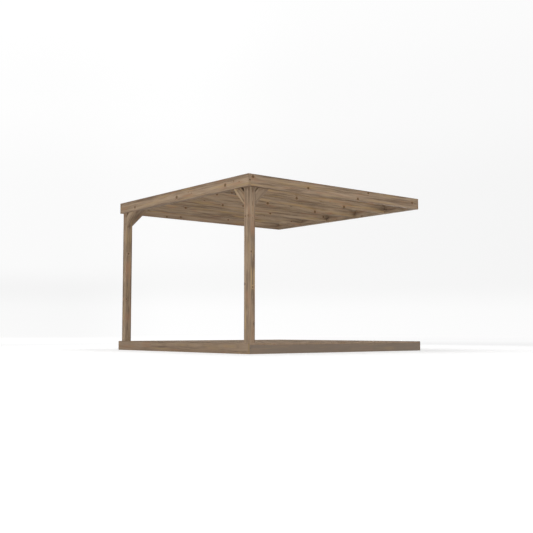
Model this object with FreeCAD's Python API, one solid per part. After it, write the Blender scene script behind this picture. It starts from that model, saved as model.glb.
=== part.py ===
import FreeCAD, Part
import math
import os

# Timber veranda: a square deck on the ground, two front posts with corner braces, and a flat
# roof frame whose back beam is fixed to a house wall. Millimetres, +Z up, front at -Y, house
# wall at +Y, origin at the middle of the deck's underside.

# Overall sizes
VERANDA_WIDTH = 4000.0
VERANDA_DEPTH = 4000.0
VERANDA_HEIGHT = 2800.0

# Deck
BOARD_THICKNESS = 28.0
FLOOR_JOIST_WIDTH = 45.0
FLOOR_JOIST_HEIGHT = 140.0
FLOOR_JOIST_COUNT = 9

# Posts
POST_SIDE = 125.0
POST_ARRIS = 5.0

# Roof frame
BEAM_THICKNESS = 45.0
BEAM_HEIGHT = 195.0
ROOF_JOIST_WIDTH = 45.0
ROOF_JOIST_COUNT = 4
ROOF_BOARD_THICKNESS = 25.0

# Bearers: battens flat on the inner face of the front and back beams, under the notched joists
BEARER_THICKNESS = 45.0
BEARER_HEIGHT = 70.0

# Corner braces: sawn at 45 degrees, lapped on the inner face of the beams up to a clearance
# under the roof boards
BRACE_THICKNESS = 45.0
BRACE_WIDTH = 145.0
BRACE_LEG = 280.0
BRACE_CLEARANCE = 20.0

# Eased edge of every planed timber but the posts
TIMBER_ARRIS = 2.5

# Places that follow from the sizes
RIGHT = VERANDA_WIDTH / 2
BACK = VERANDA_DEPTH / 2
DECK_TOP = FLOOR_JOIST_HEIGHT + BOARD_THICKNESS
BEAM_BOTTOM = VERANDA_HEIGHT - BEAM_HEIGHT
ROOF_BOARD_BOTTOM = VERANDA_HEIGHT - ROOF_BOARD_THICKNESS
BEARER_TOP = BEAM_BOTTOM + BEARER_HEIGHT
BRACE_LAP = ROOF_BOARD_BOTTOM - BEAM_BOTTOM - BRACE_CLEARANCE
FRAME_INNER_RIGHT = RIGHT - BEAM_THICKNESS
FRAME_INNER_BACK = BACK - BEAM_THICKNESS
BEARER_INNER_BACK = FRAME_INNER_BACK - BEARER_THICKNESS
POST_INNER_RIGHT = FRAME_INNER_RIGHT - POST_SIDE
POST_INNER_FRONT = -FRAME_INNER_BACK + POST_SIDE


def timber(low, high, arris=TIMBER_ARRIS):
    """A straight timber between two corners, with its four long edges eased."""
    size = [b - a for a, b in zip(low, high)]
    body = Part.makeBox(*size, FreeCAD.Vector(*low))
    grain = size.index(max(size))
    long_edges = [edge for edge in body.Edges if abs(edge.Length - size[grain]) < 0.001]
    return body.makeChamfer(arris, long_edges)


def slab(low, high):
    """A plain flat layer between two corners."""
    size = [b - a for a, b in zip(low, high)]
    return Part.makeBox(*size, FreeCAD.Vector(*low))


def mirrored_left(shape):
    """The same piece on the left side."""
    return shape.mirror(FreeCAD.Vector(0, 0, 0), FreeCAD.Vector(1, 0, 0))


def spread(count, first, last):
    """Evenly spaced places from first to last, both included."""
    step = (last - first) / (count - 1)
    return [first + step * index for index in range(count)]


def deck_edge_board_back():
    """Board on edge across the back, as high as the whole deck."""
    return timber((-RIGHT, BACK - BOARD_THICKNESS, 0), (RIGHT, BACK, DECK_TOP))


def deck_edge_board_front():
    """Board on edge across the front, as high as the whole deck."""
    return timber((-RIGHT, -BACK, 0), (RIGHT, -BACK + BOARD_THICKNESS, DECK_TOP))


def deck_edge_board_right():
    """Lower board on the side, under the ends of the floor boards."""
    inner_back = BACK - BOARD_THICKNESS
    return timber((RIGHT - BOARD_THICKNESS, -inner_back, 0), (RIGHT, inner_back, FLOOR_JOIST_HEIGHT))


def floor_rim(at_back):
    """Joist along the front or back edge board, which carries the ends of the floor joists."""
    inner_right = RIGHT - BOARD_THICKNESS
    outer = BACK - BOARD_THICKNESS
    inner = outer - FLOOR_JOIST_WIDTH
    if at_back:
        return timber((-inner_right, inner, 0), (inner_right, outer, FLOOR_JOIST_HEIGHT))
    return timber((-inner_right, -outer, 0), (inner_right, -inner, FLOOR_JOIST_HEIGHT))


def floor_joists():
    """Joists from the front rim to the back rim, the outer two along the side boards."""
    end = BACK - BOARD_THICKNESS - FLOOR_JOIST_WIDTH
    outer_centre = RIGHT - BOARD_THICKNESS - FLOOR_JOIST_WIDTH / 2
    joists = []
    for centre in spread(FLOOR_JOIST_COUNT, -outer_centre, outer_centre):
        low = (centre - FLOOR_JOIST_WIDTH / 2, -end, 0)
        high = (centre + FLOOR_JOIST_WIDTH / 2, end, FLOOR_JOIST_HEIGHT)
        joists.append(timber(low, high))
    return joists


def floor_boards():
    """The layer of floor boards, whose ends show on both sides."""
    inner_back = BACK - BOARD_THICKNESS
    return slab((-RIGHT, -inner_back, FLOOR_JOIST_HEIGHT), (RIGHT, inner_back, DECK_TOP))


def post_right():
    """Square post on the deck, in the corner of the roof frame, up to the roof boards."""
    low = (POST_INNER_RIGHT, -FRAME_INNER_BACK, DECK_TOP)
    high = (FRAME_INNER_RIGHT, POST_INNER_FRONT, ROOF_BOARD_BOTTOM)
    return timber(low, high, POST_ARRIS)


def roof_beam_front():
    """Beam across the front, whose ends show on both sides."""
    return timber((-RIGHT, -BACK, BEAM_BOTTOM), (RIGHT, -FRAME_INNER_BACK, VERANDA_HEIGHT))


def roof_beam_back():
    """Beam across the back, flat against the house wall."""
    return timber((-RIGHT, FRAME_INNER_BACK, BEAM_BOTTOM), (RIGHT, BACK, VERANDA_HEIGHT))


def roof_beam_right():
    """Side beam between the front and the back beam."""
    low = (FRAME_INNER_RIGHT, -FRAME_INNER_BACK, BEAM_BOTTOM)
    high = (RIGHT, FRAME_INNER_BACK, VERANDA_HEIGHT)
    return timber(low, high)


def roof_bearer_back():
    """Batten along the foot of the back beam, from side beam to side beam."""
    low = (-FRAME_INNER_RIGHT, BEARER_INNER_BACK, BEAM_BOTTOM)
    return timber(low, (FRAME_INNER_RIGHT, FRAME_INNER_BACK, BEARER_TOP))


def roof_bearer_front():
    """Batten along the foot of the front beam, between the upper ends of the front braces."""
    end = POST_INNER_RIGHT - BRACE_LEG - BRACE_LAP
    return timber((-end, -FRAME_INNER_BACK, BEAM_BOTTOM), (end, -BEARER_INNER_BACK, BEARER_TOP))


def roof_joists():
    """Joists from the front beam to the back beam, in equal bays, under the roof boards.

    They are flush with the underside of the beams, and both ends are notched over a bearer.
    """
    bay = VERANDA_WIDTH / (ROOF_JOIST_COUNT + 1)
    joists = []
    for centre in spread(ROOF_JOIST_COUNT, -RIGHT + bay, RIGHT - bay):
        left = centre - ROOF_JOIST_WIDTH / 2
        right = centre + ROOF_JOIST_WIDTH / 2
        low = (left, -FRAME_INNER_BACK, BEAM_BOTTOM)
        joist = timber(low, (right, FRAME_INNER_BACK, ROOF_BOARD_BOTTOM))
        back_notch = slab((left, BEARER_INNER_BACK, BEAM_BOTTOM), (right, FRAME_INNER_BACK, BEARER_TOP))
        front_notch = back_notch.mirror(FreeCAD.Vector(0, 0, 0), FreeCAD.Vector(0, 1, 0))
        joists.append(joist.cut(back_notch).cut(front_notch))
    return joists


def roof_boards():
    """The layer of roof boards, let in flush between the four beams."""
    low = (-FRAME_INNER_RIGHT, -FRAME_INNER_BACK, ROOF_BOARD_BOTTOM)
    high = (FRAME_INNER_RIGHT, FRAME_INNER_BACK, VERANDA_HEIGHT)
    return slab(low, high)


def brace(foot, run, thickness):
    """Brace at 45 degrees from the face of a post up behind a beam.

    foot is the point on the post's face at the height of the beam's underside, run is the unit
    vector away from the post, and thickness is the vector across the brace. The lower end is
    sawn plumb to seat on the post, the upper end is sawn level.
    """
    top_of_seat = BRACE_WIDTH * math.sqrt(2) - BRACE_LEG
    up = FreeCAD.Vector(0, 0, 1)
    corners = [
        foot - up * BRACE_LEG,
        foot + run * (BRACE_LEG + BRACE_LAP) + up * BRACE_LAP,
        foot + run * (BRACE_LAP - top_of_seat) + up * BRACE_LAP,
        foot + up * top_of_seat,
    ]
    outline = Part.makePolygon(corners + corners[:1])
    body = Part.Face(outline).extrude(thickness)
    long_length = (corners[1] - corners[0]).Length
    short_length = (corners[2] - corners[3]).Length
    sawn = [long_length, short_length]
    long_edges = [edge for edge in body.Edges if min(abs(edge.Length - length) for length in sawn) < 0.001]
    return body.makeChamfer(TIMBER_ARRIS, long_edges)


def brace_front_right():
    """Brace along the front beam, flush with the front face of the post."""
    foot = FreeCAD.Vector(POST_INNER_RIGHT, -FRAME_INNER_BACK, BEAM_BOTTOM)
    return brace(foot, FreeCAD.Vector(-1, 0, 0), FreeCAD.Vector(0, BRACE_THICKNESS, 0))


def brace_side_right():
    """Brace along the side beam, flush with the outer face of the post."""
    foot = FreeCAD.Vector(FRAME_INNER_RIGHT, POST_INNER_FRONT, BEAM_BOTTOM)
    return brace(foot, FreeCAD.Vector(0, 1, 0), FreeCAD.Vector(-BRACE_THICKNESS, 0, 0))


def pieces():
    """Every piece of the veranda by its name."""
    named = {
        "deck_board_front": deck_edge_board_front(),
        "deck_board_back": deck_edge_board_back(),
        "floor_rim_front": floor_rim(at_back=False),
        "floor_rim_back": floor_rim(at_back=True),
        "floor_boards": floor_boards(),
        "roof_beam_front": roof_beam_front(),
        "roof_beam_back": roof_beam_back(),
        "roof_bearer_front": roof_bearer_front(),
        "roof_bearer_back": roof_bearer_back(),
        "roof_boards": roof_boards(),
    }
    for name, right_piece in (
        ("deck_board", deck_edge_board_right()),
        ("post", post_right()),
        ("roof_beam", roof_beam_right()),
        ("brace_front", brace_front_right()),
        ("brace_side", brace_side_right()),
    ):
        named[name + "_right"] = right_piece
        named[name + "_left"] = mirrored_left(right_piece)
    for number, joist in enumerate(floor_joists(), 1):
        named[f"floor_joist_{number}"] = joist
    for number, joist in enumerate(roof_joists(), 1):
        named[f"roof_joist_{number}"] = joist
    return named


os.makedirs("parts", exist_ok=True)
for node, piece in pieces().items():
    piece.exportStep(f"parts/{node}.step")
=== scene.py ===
import logging
import math
from collections.abc import Mapping, Sequence
from dataclasses import dataclass
from enum import Enum

import bpy
import numpy as np
from mathutils import Euler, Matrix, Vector


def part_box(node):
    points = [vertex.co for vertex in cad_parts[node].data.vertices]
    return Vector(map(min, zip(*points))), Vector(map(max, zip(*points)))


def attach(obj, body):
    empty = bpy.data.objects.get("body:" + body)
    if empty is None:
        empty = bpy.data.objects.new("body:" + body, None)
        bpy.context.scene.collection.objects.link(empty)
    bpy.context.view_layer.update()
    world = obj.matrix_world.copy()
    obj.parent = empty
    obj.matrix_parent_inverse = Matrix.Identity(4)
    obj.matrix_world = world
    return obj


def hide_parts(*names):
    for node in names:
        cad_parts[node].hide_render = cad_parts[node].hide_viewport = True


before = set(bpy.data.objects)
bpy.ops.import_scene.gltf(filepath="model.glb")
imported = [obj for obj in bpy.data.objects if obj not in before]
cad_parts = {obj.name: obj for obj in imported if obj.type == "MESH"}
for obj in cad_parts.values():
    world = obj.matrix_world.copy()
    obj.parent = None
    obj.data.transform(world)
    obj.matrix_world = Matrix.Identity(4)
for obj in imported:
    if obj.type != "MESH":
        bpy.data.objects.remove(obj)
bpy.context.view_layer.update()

# A timber veranda: boards, screws, stained softwood and the studio it stands in. Metres, +Z up,
# front at -Y, house wall at +Y.

BODY = "root"
log = logging.getLogger("veranda")

Pair = tuple[float, float]
Triple = tuple[float, float, float]
Socket = bpy.types.NodeSocket

# Attributes of the boards' points: place in the grain, and lightness with the pith's place
GRAIN_KEY = "grain"
LOT_KEY = "lot"


def srgb(red: float, green: float, blue: float) -> Triple:
    """Turns a colour as a screen shows it into the linear one that a shader takes.

    Args:
        red: Red from 0 to 255.
        green: Green from 0 to 255.
        blue: Blue from 0 to 255.

    Returns:
        The linear colour: below 0.04045 the share divided by 12.92, above it the share plus
        0.055, divided by 1.055, to the power 2.4.
    """
    shares = (red / 255, green / 255, blue / 255)
    return tuple(c / 12.92 if c < 0.04045 else ((c + 0.055) / 1.055) ** 2.4 for c in shares)


def opaque(colour: Triple) -> tuple[float, float, float, float]:
    """The colour with an alpha of one, as a colour socket takes it."""
    return (*colour, 1.0)


class Signal:
    """A number that varies over a surface: one socket that takes part in arithmetic."""

    def __init__(self, bench: "NodeBench", socket: Socket) -> None:
        """Keeps the bench that makes the nodes, and the socket that carries the number."""
        self.bench = bench
        self.socket = socket

    def __add__(self, other: "Signal | float") -> "Signal":
        """This plus the other."""
        return self.bench.math("ADD", self, other)

    def __sub__(self, other: "Signal | float") -> "Signal":
        """This minus the other."""
        return self.bench.math("SUBTRACT", self, other)

    def __rsub__(self, other: float) -> "Signal":
        """The other minus this."""
        return self.bench.math("SUBTRACT", other, self)

    def __mul__(self, other: "Signal | float") -> "Signal":
        """This times the other."""
        return self.bench.math("MULTIPLY", self, other)

    def __truediv__(self, other: "Signal | float") -> "Signal":
        """This divided by the other."""
        return self.bench.math("DIVIDE", self, other)

    def __abs__(self) -> "Signal":
        """The size of this without its sign."""
        return self.bench.math("ABSOLUTE", self)

    def step(self, low: float, high: float, top: float = 1.0) -> "Signal":
        """A smooth step from 0 where this is low to top where this is high.

        Args:
            low: Value at which the step is 0.
            high: Value at which the step is full; it may be the lesser one.
            top: Height of the step.

        Returns:
            The step as a signal.
        """
        node = self.bench.node(
            "ShaderNodeMapRange",
            {"interpolation_type": "SMOOTHSTEP", "clamp": True},
            {"Value": self, "From Min": low, "From Max": high, "To Min": 0.0, "To Max": top},
        )
        return Signal(self.bench, node.outputs[0])


# What varies over a surface, or is the same all over it
Number = Signal | float


class NodeBench:
    """The node tree of one material or world, filled by methods and expressions."""

    def __init__(self, owner: bpy.types.Material | bpy.types.World) -> None:
        """Clears the owner's tree.

        Args:
            owner: The material or world whose nodes are made here.
        """
        owner.use_nodes = True
        self.tree = owner.node_tree
        self.tree.nodes.clear()

    def node(
        self,
        kind: str,
        settings: Mapping[str, object] | None = None,
        values: Mapping[str | int, object] | None = None,
    ) -> bpy.types.Node:
        """Adds one node.

        Args:
            kind: Blender's name for the node's type.
            settings: Properties of the node, set before its sockets.
            values: A number, colour, socket or signal for each socket, by name or index.

        Returns:
            The node.
        """
        node = self.tree.nodes.new(kind)
        for key, value in (settings or {}).items():
            setattr(node, key, value)
        for key, value in (values or {}).items():
            socket = self.find(node.inputs, key)
            if isinstance(value, Signal):
                value = value.socket
            if isinstance(value, Socket):
                self.tree.links.new(value, socket)
            else:
                socket.default_value = value
        return node

    @staticmethod
    def find(sockets: Sequence[Socket], key: str | int) -> Socket:
        """The socket with that index, identifier or name."""
        if isinstance(key, int):
            return sockets[key]
        return next(s for s in sockets if key in (s.identifier, s.name))

    def math(self, operation: str, *operands: Number) -> Signal:
        """A Math node on one to three numbers.

        Args:
            operation: The node's operation.
            operands: Its numbers, in order.

        Returns:
            The result.
        """
        node = self.node("ShaderNodeMath", {"operation": operation}, dict(enumerate(operands)))
        return Signal(self, node.outputs[0])

    def vector(self, operation: str, *operands: object) -> bpy.types.Node:
        """A Vector Math node on vectors, as the node itself."""
        return self.node(
            "ShaderNodeVectorMath", {"operation": operation}, dict(enumerate(operands))
        )

    def join(self, x: Number, y: Number, z: Number) -> Socket:
        """The vector of three numbers."""
        return self.node("ShaderNodeCombineXYZ", None, {"X": x, "Y": y, "Z": z}).outputs[0]

    def split(self, vector: Socket) -> tuple[Signal, Signal, Signal]:
        """The three numbers of a vector."""
        node = self.node("ShaderNodeSeparateXYZ", None, {0: vector})
        return tuple(Signal(self, out) for out in node.outputs)

    def show(self, shader: bpy.types.Node, kind: str = "Material") -> None:
        """Ends the tree with the output of a material or a world, which shows the shader."""
        self.node(f"ShaderNodeOutput{kind}", None, {"Surface": shader.outputs[0]})

    def principled(self, values: Mapping[str | int, object]) -> None:
        """Ends the tree with a Principled shader that has those values."""
        self.show(self.node("ShaderNodeBsdfPrincipled", None, values))

    def noise(self, place: Socket, detail: float = 2.0) -> Signal:
        """Soft noise around 0.5 with a grain of one unit of the given place.

        Args:
            place: Coordinates, already scaled.
            detail: Number of finer layers.

        Returns:
            The noise.
        """
        values = {"Vector": place, "Scale": 1.0, "Detail": detail}
        return Signal(self, self.node("ShaderNodeTexNoise", None, values).outputs[0])

    def swing(self, place: Socket, detail: float) -> Signal:
        """The same noise around 0."""
        return self.noise(place, detail) - 0.5

    def length(self, vector: Socket) -> Signal:
        """The length of a vector."""
        return Signal(self, self.vector("LENGTH", vector).outputs["Value"])

    def dot(self, vector: Socket, way: Triple) -> Signal:
        """How far a vector reaches in one direction."""
        return Signal(self, self.vector("DOT_PRODUCT", vector, way).outputs["Value"])

    def scaled(self, vector: Socket, factors: Triple) -> Socket:
        """A vector times a factor on each axis."""
        return self.vector("MULTIPLY", vector, factors).outputs["Vector"]

    def emission(self, kind: str, colour: object, strength: Number) -> Socket:
        """The output of a shader that has a colour and a strength."""
        return self.node(kind, None, {"Color": colour, "Strength": strength}).outputs[0]

    def blend(
        self,
        share: Number,
        first: Socket | Triple,
        second: Socket | Triple,
        how: str = "MIX",
    ) -> Socket:
        """Mixes two colours.

        Args:
            share: Share of the second colour.
            first: The first colour.
            second: The second colour.
            how: The Mix node's way of mixing.

        Returns:
            The mixed colour.
        """
        ready = [opaque(c) if isinstance(c, tuple) else c for c in (first, second)]
        node = self.node(
            "ShaderNodeMix",
            {"data_type": "RGBA", "blend_type": how, "clamp_factor": True},
            {"Factor_Float": share, "A_Color": ready[0], "B_Color": ready[1]},
        )
        return self.find(node.outputs, "Result_Color")


class Grain(Enum):
    """How a timber lies: the turn that brings its own axes onto the veranda's, in degrees.

    Its own axes run along the grain, across its wide face and through its thickness.
    """

    ACROSS = (90.0, 0.0, 0.0)
    DEEP = (90.0, 0.0, 90.0)
    UPRIGHT = (0.0, -90.0, 0.0)
    BRACE_FRONT_RIGHT = (90.0, -135.0, 0.0)
    BRACE_FRONT_LEFT = (90.0, -45.0, 0.0)
    BRACE_SIDE = (90.0, -45.0, 90.0)

    def euler(self) -> Euler:
        """The turn as Blender's Euler angles."""
        return Euler([math.radians(a) for a in self.value])


class Face(Enum):
    """The face of a timber on which a mark shows, by the one of its own axes that looks out."""

    END = 0
    NARROW = 1
    WIDE = 2


class Tint(Enum):
    """The colour that a streak brings out."""

    DEEP = "deep"
    PALE = "pale"
    OCHRE = "ochre"
    RUST = "rust"


@dataclass(frozen=True)
class Knot:
    """One knot: a point on the timber's face in metres, its radius and its face."""

    at: Triple
    radius: float
    face: Face


# Some streaks in the tables below are painted shade or painted light; a comment marks each where it
# stands.
@dataclass(frozen=True)
class Streak:
    """One streak of colour: a spindle from point to point on a timber's face.

    Attributes:
        start: One end in metres.
        end: The other end.
        width: Half of its width.
        share: How strongly it shows, from 0 to 1.
        tint: Its colour.
        face: The face on which it lies.
    """

    start: Triple
    end: Triple
    width: float
    share: float
    tint: Tint = Tint.DEEP
    face: Face = Face.WIDE


Knots = tuple[Knot, ...]
Streaks = tuple[Streak, ...]


class Plane(Enum):
    """A plane for marks in two places: the axis that it looks along, and the timber's face.

    The third place, on that axis, is left at 0, because a mark reaches right through its timber.
    """

    FRONT = (1, Face.WIDE)
    SIDE = (0, Face.WIDE)
    POST_FRONT = (1, Face.NARROW)
    UNDER = (2, Face.NARROW)
    END = (0, Face.END)

    def point(self, *places: float) -> Triple:
        """The point with those places on the plane's two axes, in order of X, Y and Z."""
        axis = self.value[0]
        return (*places[:axis], 0.0, *places[axis:])

    def knots(self, *rows: Triple) -> Knots:
        """Knots from rows of two places and a radius."""
        return tuple(Knot(self.point(*row[:2]), row[2], self.value[1]) for row in rows)

    def streaks(self, *rows: tuple[float | Tint, ...]) -> Streaks:
        """Streaks from rows of each end's two places, half the width, the share and the tint."""
        return tuple(
            Streak(self.point(*row[:2]), self.point(*row[2:4]), *row[4:], face=self.value[1])
            for row in rows
        )


@dataclass(frozen=True)
class GrainField:
    """What a stained timber's shader knows at each point of its surface.

    Attributes:
        place: Place in the timber's own axes, from its middle, metres.
        along: Place along the grain, moved by a length of the timber's own.
        wide: Place across the wide face, from its middle.
        thin: Place through the thickness, from its middle.
        half: Half of the width and half of the thickness.
        tone: The timber's own lightness, around 0.
        pith: Middle of the growth rings, across and through.
        end: 1 on sawn ends, 0 elsewhere.
    """

    place: Socket
    along: Signal
    wide: Signal
    thin: Signal
    half: Pair
    tone: Number
    pith: tuple[Number, Number]
    end: Signal


# How far along the grain a normal reaches where a sawn end starts and where it is full
SAWN_STEPS = (0.65, 0.75)


def sawn_end(bench: NodeBench, normal: Socket) -> Signal:
    """1 where a normal looks along the grain, which is the first axis, and 0 elsewhere."""
    return abs(bench.split(normal)[0]).step(*SAWN_STEPS)


@dataclass(frozen=True)
class TimberLay:
    """One straight timber of the frame, with the axes of its grain.

    Attributes:
        node: Name of its node.
        grain: How it lies.
        seed: Its number, which moves the grain along by a length of its own.
        pith: Middle of its growth rings, across and through.
        tone: Its own lightness, around 0.
        seed_shift: How far one seed moves the grain, metres.
        through: Half of a mark's size through the timber, more than any timber has, metres.
    """

    node: str
    grain: Grain
    seed: int
    pith: Pair
    tone: float = 0.0
    seed_shift: float = 7.0
    through: float = 1000.0

    def own_box(self) -> tuple[np.ndarray, np.ndarray]:
        """Lowest and highest corner of the timber in its own axes.

        Returns:
            The least and greatest of each vertex times the turn's matrix.
        """
        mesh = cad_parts[self.node].data
        points = np.empty(len(mesh.vertices) * 3)
        mesh.vertices.foreach_get("co", points)
        own = points.reshape(-1, 3) @ np.array(self.grain.euler().to_matrix())
        return own.min(0), own.max(0)

    def centre(self) -> Vector:
        """Middle of the timber in the veranda's axes."""
        low, high = self.own_box()
        return self.grain.euler().to_matrix() @ Vector((low + high) / 2)

    def own(self, place: Triple) -> Vector:
        """A point of the veranda in the timber's own axes, from its middle."""
        return self.grain.euler().to_matrix().transposed() @ (Vector(place) - self.centre())

    def mark(
        self, bench: NodeBench, place: Socket, ends: Sequence[Triple],
        width: float, face: Face, spare: float = 0.0,
    ) -> Signal:
        """Distance from the middle of a long round mark, which is 1 on its outline.

        Args:
            bench: Node tree of the timber's material.
            place: Place in the timber's own axes.
            ends: Both ends of the mark.
            width: Half of its width.
            face: The face that has it.
            spare: How far the mark reaches past its ends.

        Returns:
            The length of the place in the mark's own axes, each divided by half the mark's
            size, without the axis that looks out of the face.
        """
        first, last = (self.own(end) for end in ends)
        run = last - first
        lean = math.atan2(run[3 - face.value], run.x) if run.length > 0 else 0.0
        turn = Vector()
        size = Vector((width, width, width))
        if face is not Face.END:
            turn[face.value] = lean if face is Face.WIDE else -lean
            size.x = run.length / 2 + spare
        size[face.value] = self.through
        node = bench.node(
            "ShaderNodeMapping",
            {"vector_type": "TEXTURE"},
            {"Vector": place, "Location": (first + last) / 2, "Rotation": turn, "Scale": size},
        )
        return bench.length(node.outputs[0])

    def field(self, bench: NodeBench) -> GrainField:
        """Adds the nodes that turn Object coordinates into the timber's own.

        Args:
            bench: Node tree of the timber's material.

        Returns:
            The grain's field.
        """
        low, high = self.own_box()
        coords = bench.node("ShaderNodeTexCoord").outputs
        own, facing = (
            bench.node(
                "ShaderNodeMapping",
                {"vector_type": "TEXTURE"},
                {"Vector": vector, "Location": middle, "Rotation": self.grain.euler()},
            ).outputs[0]
            for vector, middle in ((coords["Object"], self.centre()), (coords["Normal"], Vector()))
        )
        along, wide, thin = bench.split(own)
        along = along + self.seed_shift * self.seed
        half = ((high[1] - low[1]) / 2, (high[2] - low[2]) / 2)
        end = sawn_end(bench, facing)
        return GrainField(own, along, wide, thin, half, self.tone, self.pith, end)


@dataclass(frozen=True)
class BoardLay:
    """Boards of one joined layer, whose grain is kept in the attributes of their mesh."""

    half: Pair

    def field(self, bench: NodeBench) -> GrainField:
        """Adds the nodes that read the boards' attributes.

        Args:
            bench: Node tree of the boards' material.

        Returns:
            The grain's field.
        """
        grain, lot = (
            bench.node("ShaderNodeAttribute", {"attribute_name": name}).outputs["Vector"]
            for name in (GRAIN_KEY, LOT_KEY)
        )
        along, wide, thin = bench.split(grain)
        tone, *pith = bench.split(lot)
        end = sawn_end(bench, bench.node("ShaderNodeTexCoord").outputs["Normal"])
        return GrainField(grain, along, wide, thin, self.half, tone, tuple(pith), end)


@dataclass(frozen=True)
class GrainLayer:
    """One layer of the grain's noise.

    Attributes:
        along: Cells a metre along the timber.
        across: Cells a metre across the growth rings.
        through: Cells a metre through the thickness.
        detail: Number of finer layers in it.
        weight: How strongly it shows.
        steps: For a layer of patches, where they start and where they are full.
    """

    along: float
    across: float
    through: float
    detail: float
    weight: float
    steps: Pair = (0.0, 1.0)


# The grain from broad bands to single fibres, and its patches of colour
BROAD = GrainLayer(0.8, 26.0, 3.0, 2.0, 2.0)
MIDDLE = GrainLayer(2.4, 60.0, 5.0, 3.0, 1.7)
NARROW = GrainLayer(5.0, 150.0, 9.0, 3.0, 1.3)
FIBRE = GrainLayer(22.0, 900.0, 80.0, 2.0, 0.5)
OCHRE_PATCHES = GrainLayer(1.3, 40.0, 6.0, 2.0, 0.95, (0.04, 0.22))
RUST_PATCHES = GrainLayer(2.1, 24.0, 4.0, 2.0, 0.7, (0.05, 0.25))


@dataclass(frozen=True)
class RingLook:
    """How the growth rings look.

    Attributes:
        width: Width of a ring, metres.
        wander: How far the rings wander, metres.
        cells: Cells a metre of the noise that they wander by, along and across.
        give: How far the rings move for each metre that a knot pushes them.
        late: Where in a ring its late wood starts and where it is full.
        late_end: Where the late wood ends and where it is still full.
        middle: How much late wood leaves the pattern as it is.
        share: How strongly the late wood shows.
    """

    width: float = 0.0045
    wander: float = 0.045
    cells: Pair = (0.9, 4.0)
    give: float = 1.3
    late: Pair = (0.3, 0.88)
    late_end: Pair = (1.0, 0.9)
    middle: float = 0.3
    share: float = 0.25


@dataclass(frozen=True)
class KnotLook:
    """How the knots look, with distances from a knot's middle in its radii.

    Attributes:
        core: Where the core starts and where it is full.
        halo: The same for the reddish halo.
        rim: The same for the inner side of the dark rim.
        rim_end: The same for its outer side.
        shares: How strongly the halo, core and rim show.
        rim_shade: Lightness of the rim beside that of the core.
        bulge: How far out the grain bends.
        length: How much longer along the grain than wide a given knot is.
        cells: Length and width of the cells that hold one chance knot each, metres.
        spread: How far from the middle of its cell a chance knot may lie, as a share.
        squash: What a distance along the grain from a chance knot is multiplied by.
        radius: Radius of the least chance knot, and how much more the largest has, metres.
    """

    core: Pair = (1.1, 0.7)
    halo: Pair = (2.8, 0.9)
    rim: Pair = (0.62, 0.9)
    rim_end: Pair = (1.35, 1.0)
    shares: Triple = (0.3, 0.8, 0.5)
    rim_shade: float = 0.6
    bulge: float = 3.5
    length: float = 1.15
    cells: Pair = (0.62, 0.17)
    spread: float = 0.85
    squash: float = 0.85
    radius: Pair = (0.0022, 0.017)


@dataclass(frozen=True)
class Marks:
    """Signals of what is drawn on a timber's grain.

    Attributes:
        radii: Distance from the nearest knot in its radii.
        bulge: How far the knots push the rings, metres.
        tints: Strength of the streaks of each colour.
    """

    radii: Signal | None
    bulge: Number
    tints: Mapping[Tint, Number]


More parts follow.
